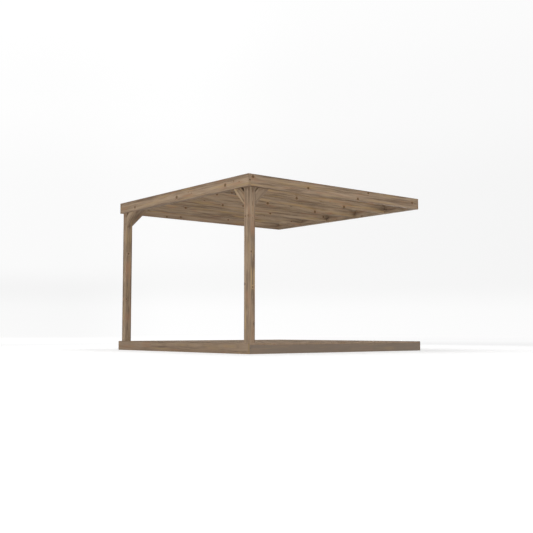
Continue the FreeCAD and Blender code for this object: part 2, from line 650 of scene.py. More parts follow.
@dataclass(frozen=True)
class TimberFinish:
    """Planed softwood with a thin brown stain, as growth rings, streaks and knots show in it.

    Attributes:
        name: Start of the names of its materials.
        pale: Colour of the early wood.
        deep: Colour of the dark streaks.
        ochre: Colour of the resinous streaks.
        rust: Colour of the reddish patches.
        heart: Colour of a knot's core.
        contrast: Strength of the grain's own pattern.
        end_share: How much darker the sawn ends are.
        edge_share: How much darker the eased edges are.
        gloss: Strength of the stain's sheen.
        fuzz: How much raised fibres scatter light that grazes them.
        streak_steps: Where a streak starts and where it is full, in half widths.
        wobble_cells: Cells a metre of the noise that moves the outlines of streaks.
        wobble: How far that noise moves them, metres.
        rings: How its growth rings look.
        knots: How its knots look.
        end_calm: How much weaker the pattern is on sawn ends.
        edge_width: Width of the darker strip along an edge, metres.
        middle_depth: Where a plain spot of wood lies between the pale and the deep colour.
        depth_steps: Where the wood is wholly pale and where it is wholly deep.
        relief: Height of the raised grain, metres.
        relief_shares: How far fibres and narrow bands rise and late wood and rims sink.
        bump: Strength of the relief.
        rough: Roughness, how much the fibres add and how much a knot's core takes off.
    """

    name: str
    pale: Triple
    deep: Triple
    ochre: Triple = srgb(171, 144, 102)
    rust: Triple = srgb(162, 121, 91)
    heart: Triple = srgb(84, 65, 36)
    contrast: float = 1.0
    end_share: float = 0.12
    edge_share: float = 0.3
    gloss: float = 0.35
    fuzz: float = 0.0
    streak_steps: Pair = (1.15, 0.15)
    wobble_cells: Triple = (3.0, 30.0, 30.0)
    wobble: Triple = (0.3, 0.05, 0.05)
    rings: RingLook = RingLook()
    knots: KnotLook = KnotLook()
    end_calm: float = 0.6
    edge_width: float = 0.011
    middle_depth: float = 0.42
    depth_steps: Pair = (-0.1, 1.1)
    relief: float = 0.0008
    relief_shares: tuple[float, float, float, float] = (0.35, 0.3, 0.45, 0.6)
    bump: float = 0.35
    rough: Triple = (0.66, 0.25, 0.12)

    def dress(
        self,
        piece: bpy.types.Object,
        lay: TimberLay | BoardLay,
        knots: Sequence[Knot] | None = None,
        streaks: Sequence[Streak] = (),
    ) -> None:
        """Gives a piece this finish, in a material of its own.

        Args:
            piece: The timber or the layer of boards.
            lay: Where its grain runs.
            knots: The knots that it has, or None for chance ones.
            streaks: The streaks that it has besides those of the grain.
        """
        material = bpy.data.materials.new(f"{self.name}_{piece.name}")
        bench = NodeBench(material)
        field = lay.field(bench)
        if knots is None:
            radii, bulge = self.chance_knots(bench, field)
        else:
            radii, bulge = self.placed_knots(bench, field.place, lay, knots)
        tints = self.streaks(bench, field, lay, streaks)
        self.surface(bench, field, Marks(radii, bulge, tints))
        piece.data.materials.clear()
        piece.data.materials.append(material)

    def streaks(
        self, bench: NodeBench, field: GrainField, lay: TimberLay, streaks: Sequence[Streak]
    ) -> Mapping[Tint, Number]:
        """Strength of the given streaks, by colour.

        Args:
            bench: Node tree of the timber's material.
            field: The grain's field.
            lay: The timber that has the streaks.
            streaks: The streaks.

        Returns:
            For each colour, the sum of the streaks' smooth steps from their outline inwards,
            with the outline moved by noise across the grain. Those of the end faces show on
            sawn ends only, and the others everywhere else.
        """
        tints: dict[Tint, Number] = {tint: 0.0 for tint in Tint}
        if not streaks:
            return tints
        shift = bench.swing(bench.scaled(field.place, self.wobble_cells), detail=3.0)
        moved = bench.join(*(shift * reach for reach in self.wobble))
        place = bench.vector("ADD", field.place, moved).outputs["Vector"]
        flank = 1.0 - field.end
        for streak in streaks:
            reach = lay.mark(bench, place, (streak.start, streak.end), streak.width, streak.face)
            shown = reach.step(*self.streak_steps, streak.share)
            shown = shown * (field.end if streak.face is Face.END else flank)
            tints[streak.tint] = shown + tints[streak.tint]
        return tints

    def placed_knots(
        self, bench: NodeBench, place: Socket, lay: TimberLay, knots: Sequence[Knot]
    ) -> tuple[Signal | None, Number]:
        """Distance from the nearest of the given knots, and the bulge of the grain round all.

        Args:
            bench: Node tree of the timber's material.
            place: Place in the timber's own axes.
            lay: The timber that has the knots.
            knots: The knots.

        Returns:
            The distance as the least of the distances in radii, or None without a knot, and
            the bulge in metres, the sum of each radius times a smooth step from the bulge's
            reach inwards.
        """
        radii: Signal | None = None
        bulge: Number = 0.0
        for knot in knots:
            distance = lay.mark(
                bench, place, (knot.at, knot.at), knot.radius, knot.face,
                knot.radius * self.knots.length,
            )
            radii = distance if radii is None else bench.math("MINIMUM", radii, distance)
            bulge = distance.step(self.knots.bulge, 0.0, knot.radius) + bulge
        return radii, bulge

    def chance_knots(self, bench: NodeBench, field: GrainField) -> tuple[Signal, Signal]:
        """Distance from the nearest of the chance knots, and the bulge of the grain round it.

        Args:
            bench: Node tree of the timber's material.
            field: The grain's field.

        Returns:
            The distance in radii, from a knot at a random place in each cell of the wide face,
            and the bulge in metres. One row of cells lies on the middle of the face.
        """
        long, wide = self.knots.cells
        cells = bench.join(field.along / long, field.wide / wide + 0.5, 0.0)
        random = bench.node(
            "ShaderNodeTexVoronoi",
            {"voronoi_dimensions": "2D", "feature": "F1"},
            {"Vector": cells, "Scale": 1.0, "Randomness": self.knots.spread},
        )
        chance = bench.split(random.outputs["Color"])[0]
        least, more = self.knots.radius
        radius = chance * chance * chance * more + least
        offset = bench.vector("SUBTRACT", cells, random.outputs["Position"]).outputs["Vector"]
        size = bench.scaled(offset, (long * self.knots.squash, wide, 0.0))
        distance = bench.length(size) / radius
        return distance, distance.step(self.knots.bulge, 0.0) * radius

    def ring_distance(self, bench: NodeBench, field: GrainField, marks: Marks) -> Signal:
        """Place across the growth rings.

        Args:
            bench: Node tree of the material.
            field: The grain's field.
            marks: Knots and streaks.

        Returns:
            The distance from the pith, moved by slow noise along the grain and by the bulge
            round each knot.
        """
        across, through = field.wide - field.pith[0], field.thin - field.pith[1]
        round_pith = bench.math("SQRT", across * across + through * through)
        along, side = self.rings.cells
        wander = bench.swing(bench.join(field.along * along, field.wide * side, 0.0), detail=3.0)
        return round_pith + wander * self.rings.wander + marks.bulge * self.rings.give

    def knotted(
        self, bench: NodeBench, wood: Socket, radii: Signal
    ) -> tuple[Socket, Signal, Signal]:
        """Draws the knots on the wood.

        Args:
            bench: Node tree of the material.
            wood: Colour of the wood without them.
            radii: Distance from the nearest knot in its radii.

        Returns:
            The colour with the halos, cores and rims, where the cores are and where the rims are.
        """
        look = self.knots
        core, halo = radii.step(*look.core), radii.step(*look.halo)
        rim = radii.step(*look.rim) * radii.step(*look.rim_end)
        dark = tuple(look.rim_shade * c for c in self.heart)
        tints = (self.rust, self.heart, dark)
        for part, share, tint in zip((halo, core, rim), look.shares, tints):
            wood = bench.blend(part * share, wood, tint)
        return wood, core, rim

    def surface(self, bench: NodeBench, field: GrainField, marks: Marks) -> None:
        """Adds the colour, roughness and relief of the wood.

        The pattern is the late wood of each ring plus layers of noise that are long along the
        grain and narrow across the rings.

        Args:
            bench: Node tree of the material.
            field: The grain's field.
            marks: Knots and streaks.
        """
        rings = self.ring_distance(bench, field, marks)
        season = bench.math("FRACT", rings / self.rings.width)
        late = season.step(*self.rings.late) * season.step(*self.rings.late_end)

        def noise(layer: GrainLayer) -> Signal:
            """The layer's noise, around 0."""
            place = bench.join(
                field.along * layer.along, rings * layer.across, field.thin * layer.through
            )
            return bench.swing(place, layer.detail)

        def patches(layer: GrainLayer) -> Signal:
            """The layer's noise as patches."""
            return noise(layer).step(*layer.steps, layer.weight * self.contrast)

        parts = {layer: noise(layer) for layer in (BROAD, MIDDLE, NARROW, FIBRE)}
        pattern = (late - self.rings.middle) * self.rings.share
        for layer, part in parts.items():
            pattern = pattern + part * layer.weight
        pattern = pattern * (1.0 - field.end * self.end_calm)
        depth = pattern * self.contrast - field.tone + self.middle_depth
        depth = depth + marks.tints[Tint.DEEP] - marks.tints[Tint.PALE]

        wood = bench.blend(depth.step(*self.depth_steps), self.pale, self.deep)
        wood = bench.blend(patches(OCHRE_PATCHES) + marks.tints[Tint.OCHRE], wood, self.ochre)
        wood = bench.blend(patches(RUST_PATCHES) + marks.tints[Tint.RUST], wood, self.rust)
        core: Number = 0.0
        rim: Number = 0.0
        if marks.radii is not None:
            wood, core, rim = self.knotted(bench, wood, marks.radii)

        side = bench.math(
            "MAXIMUM", field.half[0] - abs(field.wide), field.half[1] - abs(field.thin)
        )
        edge = side.step(self.edge_width, 0.0, self.edge_share)
        wood = bench.blend(edge + field.end * self.end_share, wood, self.deep, "MULTIPLY")

        fibre = parts[FIBRE]
        fine, narrow, sunk, low = self.relief_shares
        relief = fibre * fine - late * sunk + parts[NARROW] * narrow - rim * low
        bump = bench.node(
            "ShaderNodeBump",
            None,
            {"Strength": self.bump, "Distance": self.relief, "Height": relief},
        )
        rough, more, less = self.rough
        bench.principled(
            {
                "Base Color": wood,
                "Roughness": fibre * more + rough - core * less,
                "Normal": bump.outputs[0],
                "Specular IOR Level": self.gloss,
                "Sheen Weight": self.fuzz,
                "Sheen Roughness": 0.5,
                "Sheen Tint": opaque(self.pale),
            }
        )


@dataclass(frozen=True)
class SteelFinish:
    """Dull stainless steel of the screw heads.

    Attributes:
        name: Name of the material.
        tint: Colour of the steel.
        dull: Colour of its spots.
        cells: Cells a metre of its noise.
        spots: Where in the noise a spot starts and where it is full.
        spot_share: How strongly the spots show.
        rough: Least roughness, and how much the noise adds.
    """

    name: str = "screw_steel"
    tint: Triple = srgb(158, 152, 143)
    dull: Triple = srgb(112, 100, 88)
    cells: Triple = (900.0, 900.0, 900.0)
    spots: Pair = (0.35, 0.75)
    spot_share: float = 0.4
    rough: Pair = (0.28, 0.3)

    def material(self) -> bpy.types.Material:
        """Makes the material.

        Returns:
            A metal whose roughness varies as fine noise.
        """
        material = bpy.data.materials.new(self.name)
        bench = NodeBench(material)
        coords = bench.node("ShaderNodeTexCoord").outputs["Object"]
        fine = bench.noise(bench.scaled(coords, self.cells))
        colour = bench.blend(fine.step(*self.spots) * self.spot_share, self.tint, self.dull)
        rough = fine * self.rough[1] + self.rough[0]
        bench.principled({"Base Color": colour, "Metallic": 1.0, "Roughness": rough})
        return material


def mesh_piece(name: str, points: np.ndarray, quads: np.ndarray) -> bpy.types.Object:
    """Makes an object of the veranda from a surface of four-sided faces.

    Args:
        name: Name of the object.
        points: Corner points, one row each.
        quads: Four indices a face, turned so that the faces look outwards.

    Returns:
        The object, at the origin, which moves with the veranda.
    """
    mesh = bpy.data.meshes.new(name)
    mesh.from_pydata(points.reshape(-1, 3).tolist(), [], quads.reshape(-1, 4).tolist())
    mesh.update()
    piece = bpy.data.objects.new(name, mesh)
    bpy.context.scene.collection.objects.link(piece)
    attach(piece, BODY)
    return piece


def rounded_section(width: float, height: float, top: float, bottom: float, steps: int) -> np.ndarray:
    """The cross-section of a board as points in order, seen with the grain towards the eye.

    Each corner is a quarter circle: its centre lies one radius in from both sides, and its
    points are the centre plus the radius times the cosine and sine of even angles.

    Args:
        width: Width of the board.
        height: Thickness of the board.
        top: Radius of the upper corners.
        bottom: Radius of the lower corners.
        steps: Number of faces round each corner.

    Returns:
        Rows of places across and up, from the middle.
    """
    radius = np.array([top, top, bottom, bottom])[:, None]
    sign = np.array([[1, 1], [-1, 1], [-1, -1], [1, -1]])
    centre = sign * (np.array([width, height]) / 2 - radius)
    angle = np.pi / 2 * (np.arange(4)[:, None] + np.linspace(0, 1, steps + 1))
    ring = np.stack([np.cos(angle), np.sin(angle)], -1)
    return (centre[:, None] + radius[..., None] * ring).reshape(-1, 2)


@dataclass(frozen=True)
class BoardLayer:
    """Boards side by side in one layer, all along X.

    Attributes:
        name: Name of the piece.
        replaces: Node that the boards stand for.
        width: Width of a board.
        count: Number of boards.
        corners: Radii of the upper and the lower edges.
        steps: Faces round each edge.
        seed: Seed of the random draws.
        end_ease: Width of the eased edge round the ends.
        sag: How far a board dips at most, metres.
        bends: Number of stations between the ends.
        grain_shift: How far at most the grain is moved along from board to board, metres.
        tone_spread: Spread of the boards' lightness.
        pith_side: How far to the side of a board its pith lies at most, metres.
        pith_depth: How far above or below a board its pith lies, least and most, metres.
    """

    name: str
    replaces: str
    width: float
    count: int
    corners: Pair
    steps: int
    seed: int
    end_ease: float = 0.0012
    sag: float = 0.0003
    bends: int = 8
    grain_shift: float = 90.0
    tone_spread: float = 0.07
    pith_side: float = 0.05
    pith_depth: Pair = (0.02, 0.07)

    def centres(self) -> np.ndarray:
        """Places of the boards' middles along Y, with equal gaps between and beside them."""
        low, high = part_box(self.replaces)
        gap = (high.y - low.y - self.count * self.width) / (self.count + 1)
        return low.y + gap + self.width / 2 + np.arange(self.count) * (self.width + gap)

    def build(self) -> bpy.types.Object:
        """Makes the layer as one mesh.

        A point is the section's point, drawn in at both ends, at one of the stations along the
        board, and lowered by a sine wave as long as the board, with a random start and the sag
        as its depth.

        Returns:
            The piece, with the boards' grain and lot in attributes of its points.
        """
        low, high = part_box(self.replaces)
        length, _, thickness = high - low
        draw = np.random.default_rng(self.seed)
        section = rounded_section(self.width, thickness, *self.corners, self.steps)
        between = (np.arange(self.bends) * 2 + 1) / (self.bends * 2) * length
        ends = np.array([0.0, self.end_ease])
        station = np.concatenate([ends, between, length - ends[::-1]])[:, None]
        inset = np.zeros_like(station)
        inset[[0, -1]] = self.end_ease
        across = section[:, 0] * (1 - 2 * inset / self.width)
        up = section[:, 1] * (1 - 2 * inset / thickness)
        each = (self.count, 1, 1)
        phase = draw.uniform(0, 2 * np.pi, each)
        bow = np.sin(station / length * 2 * np.pi + phase) - 1
        points = np.empty((self.count, len(station), len(section), 3))
        points[..., 0] = low.x + station
        points[..., 1] = self.centres()[:, None, None] + across
        points[..., 2] = (low.z + high.z) / 2 + up + bow * self.sag / 2
        grain = np.empty_like(points)
        grain[..., 0] = points[..., 0] + draw.uniform(0, self.grain_shift, each)
        grain[..., 1] = across
        grain[..., 2] = up
        lot = np.empty_like(points)
        lot[..., 0] = draw.normal(0, self.tone_spread, each)
        lot[..., 1] = draw.uniform(-self.pith_side, self.pith_side, each)
        lot[..., 2] = draw.uniform(*self.pith_depth, each) * draw.choice([-1, 1], each)
        piece = mesh_piece(self.name, points, self.quads(points.shape[:3]))
        for key, values in ((GRAIN_KEY, grain), (LOT_KEY, lot)):
            attribute = piece.data.attributes.new(key, "FLOAT_VECTOR", "POINT")
            attribute.data.foreach_set("vector", values.astype(np.float32).ravel())
        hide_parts(self.replaces)
        return piece

    @staticmethod
    def quads(shape: tuple[int, int, int]) -> np.ndarray:
        """Faces of closed boards.

        The sides join each point to the next one round the section and the next station. An
        end is closed by strips between the points counted from both sides of its section.

        Args:
            shape: Number of boards, of stations and of points round a section.

        Returns:
            Four indices a face.
        """
        index = np.arange(np.prod(shape)).reshape(shape)
        here, there = index[:, :-1], index[:, 1:]
        sides = np.stack([here, there, np.roll(there, -1, 2), np.roll(here, -1, 2)], -1)
        half = np.arange(shape[2] // 2 - 1)
        strip = np.stack([half, half + 1, shape[2] - 2 - half, shape[2] - 1 - half], -1)
        return np.concatenate(
            [
                sides.reshape(-1, 4),
                index[:, 0][:, strip].reshape(-1, 4),
                index[:, -1][:, strip[:, ::-1]].reshape(-1, 4),
            ]
        )


@dataclass(frozen=True)
class ScrewSet:
    """Countersunk screws that face up: a dished head with a star-shaped recess.

    Attributes:
        name: Name of the piece.
        slot: Material slot of the part that it belongs to; not used.
        radius: Radius of a head.
        proud: How far a head stands out of the timber.
        sides: Number of points round a head.
        rings: Radius of each ring of points, from outside to the middle, in radii.
        rises: Height of each ring, in proud heights.
        star: What every second point of an inner ring is drawn in to.
    """

    name: str
    slot: str
    radius: float = 0.0045
    proud: float = 0.0005
    sides: int = 8
    rings: tuple[float, ...] = (1.0, 0.9, 0.5, 0.42, 0.0)
    rises: tuple[float, ...] = (-0.6, 1.0, 0.8, -3.0, -3.4)
    star: float = 0.6

    def build(self, places: np.ndarray, finish: SteelFinish) -> bpy.types.Object:
        """Makes all heads as one mesh.

        A point is the head's middle plus its ring's radius times the cosine and sine of even
        angles from a random turn, at its ring's height. From the third ring inwards every
        second point is drawn in, which makes the star.

        Args:
            places: Middles of the heads on the timber's face.
            finish: The steel.

        Returns:
            The piece.
        """
        number = np.arange(self.sides)
        rings = np.array(self.rings)[:, None] * self.radius
        star = np.where(number % 2, self.star, 1.0)
        radius = rings * np.where(np.arange(len(rings))[:, None] > 1, star, 1.0)
        height = np.array(self.rises)[:, None] * self.proud
        turn = np.random.default_rng(len(places)).uniform(0, 2 * np.pi, (len(places), 1, 1))
        spin = number / self.sides * 2 * np.pi + turn
        ring = [radius * np.cos(spin), radius * np.sin(spin), height + 0 * spin]
        points = places[:, None, None] + np.stack(ring, -1)
        index = np.arange(points[..., 0].size).reshape(points.shape[:3])
        here, there = index[:, :-1], index[:, 1:]
        quads = np.stack([here, np.roll(here, -1, 2), np.roll(there, -1, 2), there], -1)
        piece = mesh_piece(self.name, points, quads)
        piece.data.materials.append(finish.material())
        return piece


@dataclass(frozen=True)
class Deck:
    """The boarded floor on its frame."""

    board_width: float = 0.142
    board_thickness: float = 0.028
    board_count: int = 27
    joist_count: int = 9
    screw_inset: float = 0.032
    finish: TimberFinish = TimberFinish(
        "deck_wood", srgb(145, 124, 102), srgb(102, 83, 64), srgb(149, 126, 92),
        srgb(144, 108, 81), contrast=0.75
    )
    # The planks are paler than the frame partly as painted light: their tops lie in the roof's shade
    # and would read too dark.
    floor_finish: TimberFinish = TimberFinish(
        "floor_wood", srgb(191, 168, 145), srgb(138, 120, 102), contrast=0.7, end_share=0.45,
        edge_share=0.12, gloss=0.15, fuzz=0.8,
    )
    side_finish: TimberFinish = TimberFinish(
        "side_wood", srgb(129, 113, 97), srgb(112, 97, 83), contrast=0.22, end_share=0.0,
        edge_share=0.1,
    )
    front_streaks: Streaks = (
        *Plane.FRONT.streaks(
            (-0.25, 0.034, 0.27, 0.036, 0.01, 0.5, Tint.RUST),
            (-0.7, 0.026, 0.85, 0.03, 0.012, 0.3), (-1.95, 0.018, -1.72, 0.018, 0.012, 0.4),
            (-1.3, 0.082, 1.1, 0.078, 0.02, 0.22),
            (-1.95, 0.075, -1.3, 0.07, 0.05, 0.25, Tint.RUST),
            (0.85, 0.09, 1.35, 0.08, 0.055, 0.35, Tint.OCHRE),
            (-1.6, 0.145, 1.6, 0.14, 0.03, 0.15, Tint.PALE),
        ),
        *Plane.END.streaks((-1.985, 0.08, -1.985, 0.08, 0.3, 1.0, Tint.OCHRE)),
    )
    # Painted shade: a dark line on each side board where it meets the front board.
    side_joint_shade: Streaks = Plane.SIDE.streaks((-1.968, -0.1, -1.968, 0.3, 0.012, 1.0))

    def build(self) -> list[bpy.types.Object]:
        """Lays and screws the floor boards and dresses them.

        Returns:
            The new pieces.
        """
        layer = BoardLayer(
            "floor_planks", "floor_boards", self.board_width, self.board_count,
            corners=(0.004, 0.002), steps=3, seed=11,
        )
        planks = layer.build()
        lay = BoardLay((self.board_width / 2, self.board_thickness / 2))
        self.floor_finish.dress(planks, lay)
        joists = [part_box(f"floor_joist_{n}") for n in range(1, self.joist_count + 1)]
        lines = np.array([(low.x + high.x) / 2 for low, high in joists])
        return [planks, self.screws(layer, lines)]

    def screws(self, layer: BoardLayer, lines: np.ndarray) -> bpy.types.Object:
        """Sets two screws in every board over each joist.

        Args:
            layer: The boards.
            lines: Places of the joists along X.

        Returns:
            The screws.
        """
        reach = self.board_width / 2 - self.screw_inset
        across = np.add.outer(layer.centres(), [-reach, reach]).ravel()
        x, y = np.meshgrid(lines, across)
        places = np.stack([x.ravel(), y.ravel(), np.full(x.size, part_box("floor_boards")[1].z)], 1)
        return ScrewSet("floor_screws", "deck_timber").build(places, SteelFinish())

    def dress(self) -> None:
        """Finishes the edge boards, rims and joists."""
        pith = (0.03, 0.06)
        front = TimberLay("deck_board_front", Grain.ACROSS, 1, pith, tone=0.04)
        self.finish.dress(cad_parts[front.node], front, (), self.front_streaks)
        for node, seed in (("deck_board_right", 3), ("deck_board_left", 4)):
            side = TimberLay(node, Grain.DEEP, seed, pith=(-0.02, 0.07))
            self.side_finish.dress(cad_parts[node], side, (), self.side_joint_shade)
        lays = [
            TimberLay("deck_board_back", Grain.ACROSS, 2, pith),
            TimberLay("floor_rim_front", Grain.ACROSS, 5, pith),
            TimberLay("floor_rim_back", Grain.ACROSS, 6, pith),
        ]
        lays += [
            TimberLay(f"floor_joist_{n}", Grain.DEEP, 6 + n, pith=(0.01 * n - 0.05, 0.05))
            for n in range(1, self.joist_count + 1)
        ]
        for lay in lays:
            self.finish.dress(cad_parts[lay.node], lay)


@dataclass(frozen=True)
class FrontFrame:
    """Posts and corner braces."""

    finish: TimberFinish = TimberFinish(
        "post_wood", srgb(162, 140, 115), srgb(109, 89, 70), contrast=0.8, edge_share=0.15
    )
    # Painted shade: a darker, calmer copy of the post finish, for the side brace on the right.
    shaded_calm_finish: TimberFinish = TimberFinish(
        "brace_wood", srgb(145, 125, 104), srgb(118, 98, 80), contrast=0.35, edge_share=0.1
    )
    right_post_knots: Knots = (
        *Plane.SIDE.knots(
            (-1.907, 1.587, 0.013), (-1.88, 1.033, 0.012), (-1.857, 1.47, 0.011),
            (-1.843, 0.47, 0.02),
        ),
        *Plane.POST_FRONT.knots(
            (1.852, 1.084, 0.017), (1.864, 2.146, 0.013), (1.936, 2.15, 0.012),
        ),
    )
    left_post_knots: Knots = Plane.SIDE.knots(
        (-1.905, 1.825, 0.016), (-1.937, 0.96, 0.013),
    )
    right_post_streaks: Streaks = (
        *Plane.POST_FRONT.streaks(
            (1.866, 0.2, 1.868, 2.1, 0.016, 0.3, Tint.PALE), (1.912, 0.0, 1.912, 1.3, 0.04, 0.2),
            (1.848, -0.5, 1.848, 3.0, 0.04, 0.26, Tint.PALE),
            (1.89, 1.5, 1.89, 2.5, 0.05, 0.2, Tint.PALE), (1.925, 1.0, 1.93, 2.2, 0.016, 0.22),
            (1.945, 1.5, 1.945, 1.8, 0.012, 0.5, Tint.OCHRE),
            # The last mark on the next line is painted shade: a dark band at the post's top, under
            # the beam.
            (1.905, 2.1, 1.91, 2.6, 0.014, 0.4, Tint.PALE), (1.78, 2.61, 2.0, 2.61, 0.045, 0.8),
            (1.925, 1.25, 1.925, 1.95, 0.05, 0.1, Tint.PALE),
            (1.925, 0.65, 1.925, 1.3, 0.04, 0.06),
        ),
        *Plane.SIDE.streaks(
            (-1.9, 1.0, -1.905, 1.45, 0.016, 0.35, Tint.OCHRE),
            (-1.885, 1.5, -1.89, 2.0, 0.012, 0.2),
            (-1.935, 0.45, -1.93, 0.9, 0.014, 0.3, Tint.PALE),
            (-1.915, 0.4, -1.91, 0.95, 0.012, 0.4, Tint.RUST),
            (-1.841, -0.5, -1.841, 3.0, 0.03, 0.6),
            (-1.836, 0.3, -1.836, 1.5, 0.014, 0.5, Tint.RUST),
            (-1.905, 2.0, -1.9, 2.6, 0.01, 0.4, Tint.PALE),
            (-1.87, 2.0, -1.868, 2.6, 0.012, 0.4, Tint.RUST),
            # Painted shade on the next line: the face a little darker from low down to the top, and a
            # dark band at its top, under the beam.
            (-1.893, 0.4, -1.893, 3.4, 0.08, 0.25), (-1.78, 2.61, -2.0, 2.61, 0.045, 0.8),
            (-1.93, 1.15, -1.93, 1.95, 0.03, 0.22, Tint.PALE),
        ),
    )
    left_post_streaks: Streaks = (
        *Plane.POST_FRONT.streaks(
            (-1.9, 0.45, -1.9, 0.95, 0.04, 0.4, Tint.OCHRE),
            (-1.85, -0.5, -1.85, 3.0, 0.03, 0.2, Tint.PALE),
            (-1.945, -0.5, -1.945, 3.0, 0.04, 0.5), (-1.878, 2.34, -1.87, 2.42, 0.03, 0.8),
        ),
        *Plane.SIDE.streaks(
            (-1.89, 0.5, -1.885, 1.0, 0.03, 0.3),
            (-1.87, 1.45, -1.872, 1.8, 0.018, 0.5, Tint.OCHRE),
            (-1.925, 1.1, -1.925, 2.2, 0.014, 0.2),
            (-1.88, 1.1, -1.878, 1.5, 0.012, 0.2, Tint.RUST),
            (-1.836, -0.5, -1.836, 3.0, 0.02, 0.9),
            # Painted light: the whole face a little lighter.
            (-1.893, 0.1, -1.893, 2.7, 0.08, 0.25, Tint.PALE),
            # Painted shade on the next line: a band where the front brace's foot meets the post, and
            # the gap between post and brace under the beam.
            (-1.93, 2.36, -1.85, 2.36, 0.09, 0.6), (-1.93, 2.53, -1.93, 2.62, 0.05, 1.0),
            (-1.875, 1.75, -1.875, 2.45, 0.03, 0.4),
        ),
    )
    right_front_streaks: Streaks = Plane.FRONT.streaks(
        (1.85, 2.326, 1.42, 2.756, 0.026, 0.85, Tint.PALE), (1.87, 2.45, 1.61, 2.71, 0.034, 0.35),
        # Painted shade: a dark band along the top of the brace, under the beam.
        (1.87, 2.602, 1.5, 2.602, 0.06, 0.6),
    )
    right_side_streaks: Streaks = Plane.SIDE.streaks(
        (-1.83, 2.515, -1.73, 2.615, 0.016, 0.7, Tint.PALE),
        # The second mark on the next line is painted shade: a dark band along the top of the brace,
        # under the beam.
        (-1.84, 2.36, -1.62, 2.58, 0.016, 0.4), (-1.83, 2.605, -1.45, 2.605, 0.05, 0.6),
    )
    left_front_streaks: Streaks = (
        *Plane.FRONT.streaks((-1.84, 2.34, -1.54, 2.64, 0.018, 0.5)),
        # Painted shade: the underside of the brace darker.
        Streak((-1.84, -1.928, 2.315), (-1.54, -1.928, 2.615), 0.024, 0.7, Tint.DEEP, Face.NARROW),
    )
    left_side_streaks: Streaks = Plane.SIDE.streaks(
        # The first mark on the next line is a painted highlight near the top end of the brace.
        (-1.51, 2.7, -1.44, 2.735, 0.022, 0.7, Tint.PALE), (-1.85, 2.42, -1.58, 2.69, 0.06, 0.45),
    )

    def dress(self) -> None:
        """Finishes the posts and the braces."""
        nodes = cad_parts
        right = TimberLay("post_right", Grain.UPRIGHT, 31, pith=(0.012, -0.02), tone=-0.05)
        left = TimberLay("post_left", Grain.UPRIGHT, 32, pith=(-0.02, 0.015), tone=-0.09)
        for lay, knots, streaks in (
            (right, self.right_post_knots, self.right_post_streaks),
            (left, self.left_post_knots, self.left_post_streaks),
        ):
            self.finish.dress(nodes[lay.node], lay, knots, streaks)
        braces = (
            ("front_right", Grain.BRACE_FRONT_RIGHT, -0.22, self.finish, self.right_front_streaks),
            ("front_left", Grain.BRACE_FRONT_LEFT, 0.22, self.finish, self.left_front_streaks),
            ("side_right", Grain.BRACE_SIDE, 0.0, self.shaded_calm_finish, self.right_side_streaks),
            ("side_left", Grain.BRACE_SIDE, 0.0, self.finish, self.left_side_streaks),
        )
        for seed, (name, grain, tone, finish, streaks) in enumerate(braces, 33):
            lay = TimberLay(f"brace_{name}", grain, seed, pith=(0.03, 0.05), tone=tone)
            finish.dress(nodes[lay.node], lay, (), streaks)


